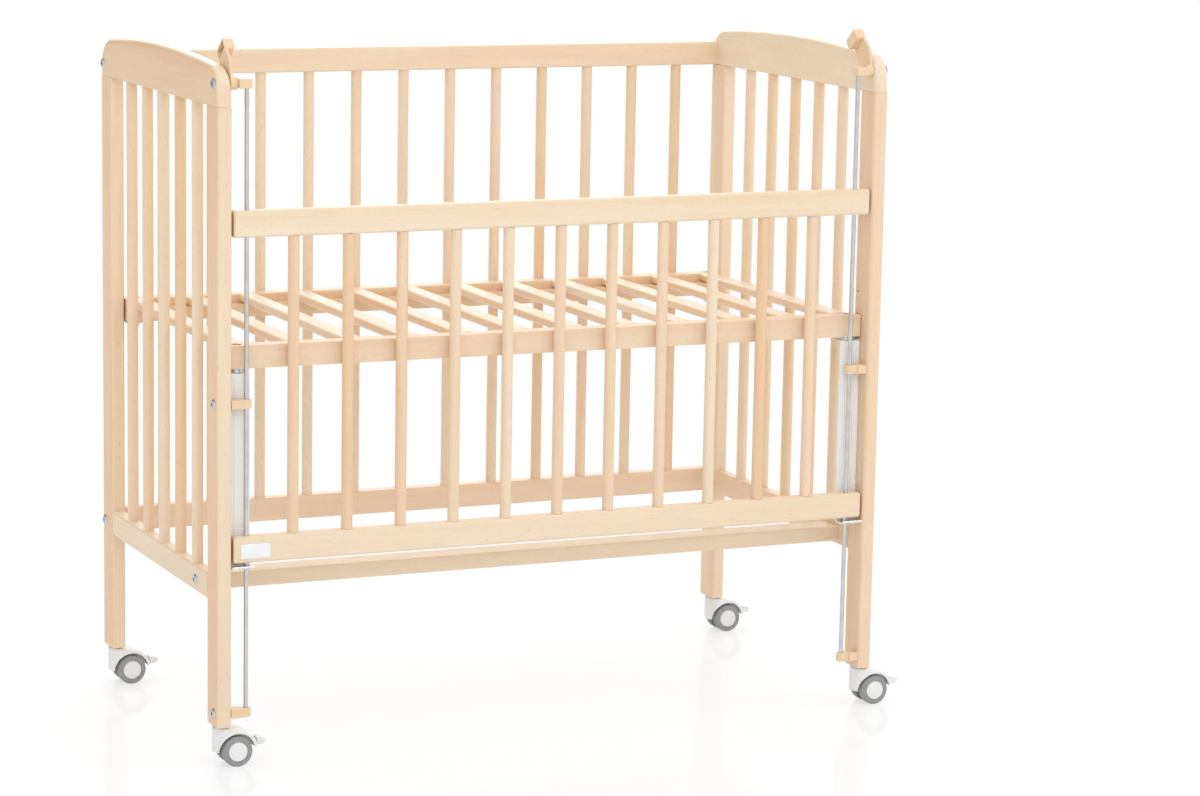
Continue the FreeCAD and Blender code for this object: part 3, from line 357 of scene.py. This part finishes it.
plastics = {
    # colour, roughness and grain of the moulded skin
    "beige": ((0.80, 0.60, 0.39, 1), 0.42, 1600),
    "white": ((0.80, 0.80, 0.795, 1), 0.38, 1800),
    "plate": ((0.86, 0.86, 0.87, 1), 0.30, 2400),
    "clouded": 0.93,
    "cloudScale": 40,
    "cloudRange": (0.35, 0.7),
    "cloudShare": 0.6,
    "grainRoughness": 0.14,
    "relief": 0.00006,
    "reliefShare": 0.35,
}


def makePlastic(name, colour, roughness, grain):
    # moulded plastic with a fine spark-eroded skin
    skin = Finish(name, roughness)
    place = skin.place()
    fine = skin.noise(place, grain, 2)
    skin.clouded(place, plastics, colour)
    vary = plastics["grainRoughness"]
    skin.give("Roughness", fine * vary + (roughness - vary / 2))
    skin.bump(fine, plastics["relief"], plastics["reliefShare"])
    return skin.material


metals = {
    # colour, roughness and the stretch of the drawing marks
    "zinc": ((0.62, 0.63, 0.65, 1), 0.32, (1, 1, 1)),
    "rod": ((0.64, 0.65, 0.67, 1), 0.14, (1, 1, 0.02)),
    "eyelet": ((0.60, 0.60, 0.61, 1), 0.30, (1, 1, 1)),
    "clouded": 0.80,
    "cloudScale": 60,
    "cloudRange": (0.35, 0.7),
    "cloudShare": 0.5,
    "drawnScale": 700,
    "drawnRoughness": 0.12,
    "smoother": 0.05,
    "relief": 0.00004,
    "reliefShare": 0.3,
}


def makeSteel(name, colour, roughness, stretchAlong):
    # bright zinc or chrome with drawing marks along the piece
    metal = Finish(name, roughness)
    metal.give("Metallic", 1.0)
    place = metal.place()
    drawn = metal.noise(metal.stretch(place, stretchAlong), metals["drawnScale"], 3)
    metal.clouded(place, metals, colour)
    metal.give("Roughness", drawn * metals["drawnRoughness"] + (roughness - metals["smoother"]))
    metal.bump(drawn, metals["relief"], metals["reliefShare"])
    return metal.material


wheels = {
    "hubRadius": 0.0130,
    "hubRim": 0.00015,           # half the width of the change from hub to tyre
    "grain": 1500,
    "relief": 0.00005,
    "reliefShare": 0.4,
    "tyre": (0.31, 0.31, 0.312, 1),
    "tyreWorn": (0.245, 0.245, 0.247, 1),
    "hub": (0.80, 0.80, 0.79, 1),
    "wornRange": (0.3, 0.7),
    "wornShare": 0.5,
    "hubRoughness": 0.36,
    "tyreRougher": 0.14,
    "grainRoughness": 0.06,
}


def makeWheel(node):
    # grey tyre with a satin skin, and a white hub disc inside its ring
    low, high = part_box(node)
    middle = (low + high) / 2
    wheel = Finish("finish_" + node, 0.5)
    place = wheel.place()
    x, _, z = wheel.split(place)
    x = x - middle.x
    z = z - middle.z
    away = (x * x + z * z) ** 0.5
    rim = wheels["hubRim"]
    outside = wheel.between(away, wheels["hubRadius"] - rim, wheels["hubRadius"] + rim)
    fine = wheel.noise(place, wheels["grain"], 2)
    worn = wheel.between(fine, *wheels["wornRange"]) * wheels["wornShare"]
    tyre = wheel.mixed(worn, wheels["tyre"], wheels["tyreWorn"])
    wheel.give("Base Color", wheel.mixed(outside, wheels["hub"], tyre))
    rougher = outside * wheels["tyreRougher"] + wheels["hubRoughness"]
    wheel.give("Roughness", rougher + fine * wheels["grainRoughness"])
    wheel.bump(fine, wheels["relief"], wheels["reliefShare"])
    return wheel.material


def makeWebbing():
    # woven polyester tape: ribs along it, picks across it, and a darker line on each side of the middle
    tape = Finish("webbingWhite", 0.72)
    place = tape.place()
    x, y, z = tape.split(place)
    across = abs(x) - strap["middleX"]
    along = z - y
    ribs = tape.wave(across, strap["ribPitch"])
    picks = tape.wave(along, strap["pickPitch"])
    weave = ribs * strap["ribShare"] + picks * ribs * strap["pickShare"]
    fade = strap["lineFade"]
    lines = tape.between(abs(across), strap["linesFrom"], strap["linesFrom"] + fade)
    lines = lines - tape.between(abs(across), strap["linesTo"] - fade, strap["linesTo"])
    worn = tape.noise(place, strap["wornScale"], 3)
    colour = tape.mixed(tape.between(weave, *strap["weaveRange"]), strap["shade"], strap["colour"])
    colour = tape.mixed(lines * strap["lineShare"], colour, strap["line"])
    worn = tape.between(worn, *strap["wornRange"]) * strap["wornShare"]
    colour = tape.mixed(worn, colour, strap["shade"])
    tape.give("Base Color", colour)
    tape.give("Roughness", weave * strap["weaveRoughness"] + strap["roughness"])
    tape.give("Sheen Weight", strap["sheen"])
    tape.bump(weave + lines * strap["lineDepth"], strap["relief"], strap["reliefShare"])
    return tape.material


def paint(node, material):
    mesh = nodes[node].data
    mesh.materials.clear()
    mesh.materials.append(material)


def paintFrame():
    made = {}
    for name, kind in beech["pieces"].items():
        if kind not in made:
            made[kind] = makeBeech("beech_" + name, *kind)
        paint(name, made[kind])
    beige = makePlastic("beigePlastic", *plastics["beige"])
    white = makePlastic("whitePlastic", *plastics["white"])
    zinc = makeSteel("zinc", *metals["zinc"])
    rod = makeSteel("chromedRod", *metals["rod"])
    for name in nodes:
        if "bracket_" in name and name != "bracket_screws" or name.startswith("lever"):
            paint(name, beige)
        elif name.startswith(("caster_housing", "caster_pedal")):
            paint(name, white)
        elif name.startswith("wheel_"):
            paint(name, makeWheel(name))
        elif name.startswith("rod_"):
            paint(name, rod)
        elif name.startswith(("bracket_screws", "frame_bolts", "base_studs", "base_bolts", "caster_stems",
                              "caster_axle")):
            paint(name, zinc)


strap = {
    "wide": 0.030,
    "thick": 0.0016,
    "edge": 0.0004,
    "middleX": 0.444,
    # from the flap under the base's stud, down behind the gate and round under it, as (y, z)
    "route": [(-0.2085, 0.5161), (-0.2311, 0.5161), (-0.2311, 0.2624), (-0.2490, 0.2624),
              (-0.2545, 0.2662)],
    "bends": [0.003, 0.007, 0.004],
    "bendSteps": 8,
    "step": 0.0015,
    "rodX": 0.4376,
    "rodY": -0.244,
    "rodHole": 0.0050,
    "eyeletRim": 0.0013,
    "eyeletFlat": 0.9,
    "eyeletOut": 0.6,            # the share of its rim that the ring's middle lies outside the hole
    "eyeletSegments": (40, 12),
    "boltX": 0.444,
    "boltY": -0.221,
    "boltHole": 0.0034,
    "rodHoleBelow": 0.006,       # the rod's hole is cut only this far up from the loop
    "boltHoleAbove": 0.002,      # and the bolt's only this far down from the flap
    "bow": 0.0006,               # how far the drop bellies out
    "ribPitch": 0.0016,
    "pickPitch": 0.0012,
    "linesFrom": 0.0052,         # a darker line woven in on each side of the middle
    "linesTo": 0.0072,
    "lineFade": 0.0006,
    "ribShare": 0.6,
    "pickShare": 0.5,
    "lineShare": 0.35,
    "wornScale": 55,
    "wornShare": 0.25,
    "roughness": 0.66,
    "weaveRoughness": 0.10,
    "sheen": 0.25,
    "weaveRange": (0.1, 0.9),
    "wornRange": (0.45, 0.75),
    "lineDepth": 0.3,
    "relief": 0.00018,
    "reliefShare": 0.7,
    "colour": (0.95, 0.95, 0.955, 1),
    "shade": (0.86, 0.86, 0.86, 1),
    "line": (0.52, 0.50, 0.50, 1),
}


def roundedRoute(points, bends):
    # the corners of a route are swapped for short arcs
    route = [Vector(points[0])]
    for before, corner, after, bend in zip(points, points[1:], points[2:], bends):
        before, corner, after = Vector(before), Vector(corner), Vector(after)
        start = corner + (before - corner).normalized() * bend
        end = corner + (after - corner).normalized() * bend
        for step in range(strap["bendSteps"] + 1):
            share = step / strap["bendSteps"]
            route.append(start.lerp(corner, share).lerp(corner.lerp(end, share), share))
    route.append(Vector(points[-1]))
    return route


def stationsAlong(route, step):
    # points at even distances along a route
    lengths = [(after - before).length for before, after in zip(route, route[1:])]
    total = sum(lengths)
    count = round(total / step)
    stations = []
    leg = 0
    passed = 0.0
    for number in range(count + 1):
        wanted = total * number / count
        while leg < len(lengths) - 1 and passed + lengths[leg] < wanted:
            passed += lengths[leg]
            leg += 1
        stations.append(route[leg].lerp(route[leg + 1], (wanted - passed) / lengths[leg]))
    return stations, total


def openHole(mesh, x, y, radius, near):
    # drops the tape's faces inside a round hole and draws its rim onto the circle
    inside = [face.index for face in mesh.polygons
              if near(face.center) and math.hypot(face.center.x - x, face.center.y - y) < radius]
    bpy.ops.object.mode_set(mode="EDIT")
    bpy.ops.mesh.select_all(action="DESELECT")
    bpy.ops.object.mode_set(mode="OBJECT")
    rim = set()
    for number in inside:
        mesh.polygons[number].select = True
        rim.update(mesh.polygons[number].vertices)
    others = set()
    for face in mesh.polygons:
        if face.index not in inside:
            others.update(face.vertices)
    for number in rim & others:
        spot = mesh.vertices[number].co
        away = Vector((spot.x - x, spot.y - y))
        away = away.normalized() * radius
        spot.x = x + away.x
        spot.y = y + away.y
    bpy.ops.object.mode_set(mode="EDIT")
    bpy.ops.mesh.delete(type="FACE")
    bpy.ops.object.mode_set(mode="OBJECT")


def softenEdges(piece, width):
    soft = piece.modifiers.new("edge", "BEVEL")
    soft.width = width
    soft.segments = 2
    soft.limit_method = "ANGLE"


def applyAll(piece):
    bpy.context.view_layer.objects.active = piece
    for modifier in list(piece.modifiers):
        bpy.ops.object.modifier_apply(modifier=modifier.name)


def finishPiece(piece, material, body):
    bpy.ops.object.select_all(action="DESELECT")
    piece.select_set(True)
    bpy.context.view_layer.objects.active = piece
    bpy.ops.object.transform_apply(location=True, rotation=True, scale=True)
    bpy.ops.object.shade_smooth_by_angle(angle=smoothAngle)
    piece.data.materials.clear()
    piece.data.materials.append(material)
    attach(piece, body)


def makeStrap(sideName, side, webbing, steel):
    stations, total = stationsAlong(roundedRoute(strap["route"], strap["bends"]), strap["step"])
    rows = len(stations)
    columns = round(strap["wide"] / strap["step"])
    bpy.ops.object.select_all(action="DESELECT")
    bpy.ops.mesh.primitive_grid_add(x_subdivisions=columns, y_subdivisions=rows - 1, size=2)
    tape = bpy.context.object
    tape.name = "strapWebbing_" + sideName
    drop = strap["route"][1][1] - strap["route"][2][1]
    for vertex in tape.data.vertices:
        row = round((vertex.co.y + 1) / 2 * (rows - 1))
        y, z = stations[row]
        share = (strap["route"][1][1] - z) / drop
        belly = math.sin(math.pi * min(max(share, 0), 1)) * strap["bow"]
        vertex.co = (side * strap["middleX"] + vertex.co.x * strap["wide"] / 2, y - belly, z)
    low = strap["route"][2][1]
    openHole(tape.data, side * strap["rodX"], strap["rodY"], strap["rodHole"],
             lambda spot: spot.z < low + strap["rodHoleBelow"])
    openHole(tape.data, side * strap["boltX"], strap["boltY"], strap["boltHole"],
             lambda spot: spot.z > low + drop - strap["boltHoleAbove"])
    thick = tape.modifiers.new("thickness", "SOLIDIFY")
    thick.thickness = strap["thick"]
    thick.offset = 0
    softenEdges(tape, strap["edge"])
    applyAll(tape)
    finishPiece(tape, webbing, "frame")
    bpy.ops.object.select_all(action="DESELECT")
    rim = strap["eyeletRim"]
    around, across = strap["eyeletSegments"]
    bpy.ops.mesh.primitive_torus_add(major_radius=strap["rodHole"] + rim * strap["eyeletOut"],
                                     minor_radius=rim, major_segments=around, minor_segments=across,
                                     location=(side * strap["rodX"], strap["rodY"], low))
    eyelet = bpy.context.object
    eyelet.name = "strapEyelet_" + sideName
    bpy.ops.object.mode_set(mode="EDIT")
    bpy.ops.mesh.select_all(action="SELECT")
    bpy.ops.transform.resize(value=(1, 1, strap["eyeletFlat"]))
    bpy.ops.object.mode_set(mode="OBJECT")
    finishPiece(eyelet, steel, "frame")
    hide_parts("strap_" + sideName)


plate = {
    "place": (-0.4275, -0.2531, 0.2865),
    "size": (0.041, 0.0012, 0.020),
    "corner": 0.0015,
    "cornerSegments": 5,
    "border": 0.0006,
    "raised": 0.0002,
    "edge": 0.0002,
}


def makePlate():
    # the small blank plate on the gate's lower rail
    bpy.ops.object.select_all(action="DESELECT")
    bpy.ops.mesh.primitive_cube_add(size=1, location=plate["place"])
    piece = bpy.context.object
    piece.name = "gatePlate"
    bpy.ops.object.mode_set(mode="EDIT")
    bpy.ops.mesh.select_all(action="SELECT")
    bpy.ops.transform.resize(value=plate["size"])
    bpy.ops.mesh.select_all(action="DESELECT")
    bpy.ops.object.mode_set(mode="OBJECT")
    for edge in piece.data.edges:
        ends = [piece.data.vertices[number].co for number in edge.vertices]
        edge.select = abs(ends[0].y - ends[1].y) > plate["size"][1] / 2
    bpy.ops.object.mode_set(mode="EDIT")
    bpy.ops.mesh.select_mode(type="EDGE")
    bpy.ops.mesh.bevel(offset=plate["corner"], segments=plate["cornerSegments"], affect="EDGES")
    bpy.ops.mesh.select_mode(type="FACE")
    bpy.ops.mesh.select_all(action="DESELECT")
    bpy.ops.object.mode_set(mode="OBJECT")
    front = min(piece.data.polygons, key=lambda face: face.center.y)
    front.select = True
    bpy.ops.object.mode_set(mode="EDIT")
    bpy.ops.mesh.inset(thickness=plate["border"])
    bpy.ops.transform.translate(value=(0, -plate["raised"], 0))
    bpy.ops.object.mode_set(mode="OBJECT")
    softenEdges(piece, plate["edge"])
    applyAll(piece)
    finishPiece(piece, makePlastic("plateWhite", *plastics["plate"]), "gate")


def makeStage():
    half = studio["floorHalf"]
    bpy.ops.object.select_all(action="DESELECT")
    bpy.ops.mesh.primitive_plane_add(size=2 * half, location=(0, 0, 0))
    floor = bpy.context.object
    floor.name = "floor"
    ground = Finish("floorWhite", studio["floorRoughness"])
    x, y, _ = ground.split(ground.place())
    ground.give("Base Color", studio["floorColour"])
    ground.give("Specular IOR Level", studio["floorSpecular"])
    away = (x * x + y * y) ** 0.5
    glow = studio["floorGlow"]
    share = ground.between(away, studio["glowFrom"], studio["glowTo"]) * (1 - glow) + glow
    white = ground.node("ShaderNodeEmission", {}, {"Color": (1, 1, 1, 1), "Strength": 1.0})
    lit = Flow(ground, ground.shader.outputs[0])
    mix = ground.node("ShaderNodeMixShader", {}, {0: share * ground.seenDirectly(), 1: lit, 2: white})
    ground.feed(ground.tree.nodes["Material Output"].inputs["Surface"], mix)
    floor.data.materials.append(ground.material)


def makeWorld():
    world = bpy.data.worlds.new("studio")
    world.use_nodes = True
    bpy.context.scene.world = world
    room = Bench(world.node_tree)
    light = room.node("ShaderNodeBackground", {}, {"Color": (1, 1, 1, 1), "Strength": studio["worldLight"]})
    white = room.node("ShaderNodeBackground", {}, {"Color": (1, 1, 1, 1), "Strength": 1.0})
    dark = room.node("ShaderNodeBackground", {}, {"Color": studio["darkColour"], "Strength": 1.0})
    way = room.node("ShaderNodeTexCoord", {}, {}, "Generated")
    toDark = Vector(studio["darkSide"]).normalized()
    side = room.node("ShaderNodeVectorMath", {"operation": "DOT_PRODUCT"}, {0: way, 1: toDark}, "Value")
    mirrored = room.node("ShaderNodeLightPath", {}, {}, "Is Glossy Ray")
    darkness = room.between(side, studio["darkFrom"], studio["darkTo"]) * mirrored
    shown = room.node("ShaderNodeMixShader", {}, {0: darkness, 1: white, 2: dark})
    mix = room.node("ShaderNodeMixShader", {}, {0: room.seenDirectly(), 1: light, 2: shown})
    room.feed(world.node_tree.nodes["World Output"].inputs["Surface"], mix)


setCamera()
makeWorld()
makeStage()
areaLamp("key", studio["keyPlace"], studio["keySize"], studio["keyPower"])
areaLamp("fill", studio["fillPlace"], studio["fillSize"], studio["fillPower"])
areaLamp("back", studio["backPlace"], studio["backSize"], studio["backPower"])
print("camera, floor and lamps set")

paintFrame()
print("materials painted")

webbing = makeWebbing()
eyeletSteel = makeSteel("eyeletSteel", *metals["eyelet"])
makeStrap("left", -1, webbing, eyeletSteel)
makeStrap("right", 1, webbing, eyeletSteel)
makePlate()
print("straps and plate made")

bpy.context.scene.view_settings.view_transform = "Standard"
